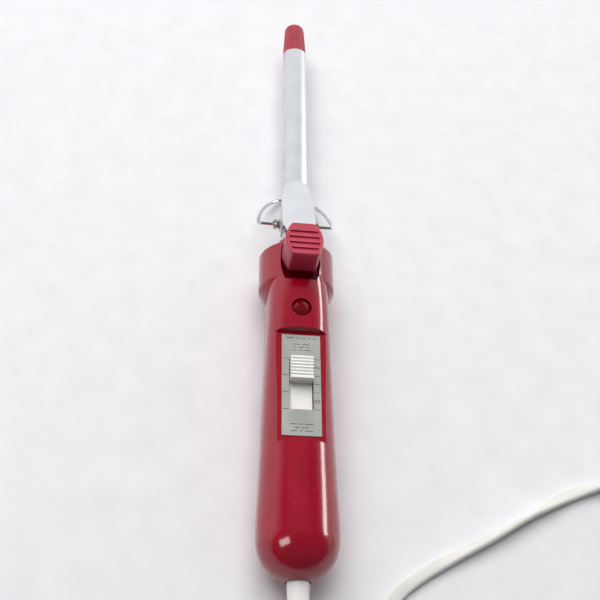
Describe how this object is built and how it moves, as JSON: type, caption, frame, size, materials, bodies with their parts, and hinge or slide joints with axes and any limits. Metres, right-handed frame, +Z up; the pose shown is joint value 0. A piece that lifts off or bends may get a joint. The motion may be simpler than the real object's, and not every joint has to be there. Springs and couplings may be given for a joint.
{
  "type": "hair curling iron with spring clip",
  "caption": "Slim hair iron with a sprung clip over a round heated barrel, thumb lever, wire stand, slide switch, pilot lamp and a coiled mains cord with a two-blade plug.",
  "frame": {"origin": "on the table, under the middle of the iron with its strain relief, without the free cord", "axes": "+Y along the barrel towards the cool tip, +Z up through the thumb lever, +X to the right seen from the cord end"},
  "size_m": [0.251, 0.4476, 0.0482],
  "materials": {
    "handle": "glossy burgundy moulded plastic",
    "lever_plastic": "satin red heat-proof plastic",
    "tip_plastic": "satin red heat-proof plastic",
    "clip_metal": "satin pale metal with faint stains",
    "barrel_metal": "polished plated steel",
    "wire_metal": "bright plated wire and rivets",
    "spring_steel": "spring steel",
    "screw_steel": "zinc plated",
    "label": "satin grey anodised plate with fine dark print",
    "switch_white": "white semi-gloss",
    "jewel": "dark red transparent, faceted",
    "lamp_glass": "clear glass lamp",
    "component": "small electrical component",
    "phenolic": "brown phenolic",
    "contact_brass": "brass strip",
    "wire_insulation": "heat-proof sleeving",
    "ceramic": "unglazed ceramic",
    "mica": "wrapped mica sheet",
    "ribbon": "oxidised resistance ribbon",
    "cord_white": "off-white flexible PVC",
    "tie": "white strap",
    "blade_brass": "plated brass blades"
  },
  "bodies": {
    "handle": {"upper_shell": "handle", "lower_shell": "handle", "handle_screws": "screw_steel", "label_plate": "label", "pilot_jewel": "jewel", "neon_lamp": "lamp_glass", "lamp_resistor": "component", "low_heat_diode": "component", "switch_body": "phenolic", "switch_contacts": "contact_brass", "live_wire": "wire_insulation", "neutral_wire": "wire_insulation", "switched_wire": "wire_insulation", "barrel_tube": "barrel_metal", "barrel_bush": "phenolic", "heater_core": "ceramic", "heater_winding": "ribbon", "heater_leads": "ribbon", "mica_sleeve": "mica", "thermal_fuse": "component", "tip_insulator": "ceramic", "cool_tip": "tip_plastic", "pivot_band": "barrel_metal", "pivot_rivets": "wire_metal", "strain_relief": "cord_white", "power_cord": "cord_white", "cord_tail": "cord_white", "cord_coil": "cord_white", "cord_tie": "tie", "plug_body": "cord_white", "plug_blades": "blade_brass"},
    "clip": {"clip_spoon": "clip_metal", "thumb_lever": "lever_plastic", "lever_rivets": "screw_steel", "lever_spring": "spring_steel"},
    "stand": {"stand_wire": "wire_metal"},
    "slider": {"switch_knob": "switch_white", "switch_wiper": "contact_brass"}
  },
  "joints": [
    {"name": "clip_pivot", "type": "hinge", "parent": "handle", "child": "clip", "pos_m": [0, 0.031, 0.0174], "axis": [1, 0, 0], "range_deg": [0, 10], "stiffness_Nm_per_rad": 0.5, "springref_deg": -20.05, "deforming": ["lever_spring"]},
    {"name": "stand_pivot", "type": "hinge", "parent": "handle", "child": "stand", "pos_m": [0, 0.031, 0.0174], "axis": [-1, 0, 0], "range_deg": [-16, 108]},
    {"name": "switch_slide", "type": "slide", "parent": "handle", "child": "slider", "axis": [0, -1, 0], "range_m": [0, 0.0126]}
  ]
}
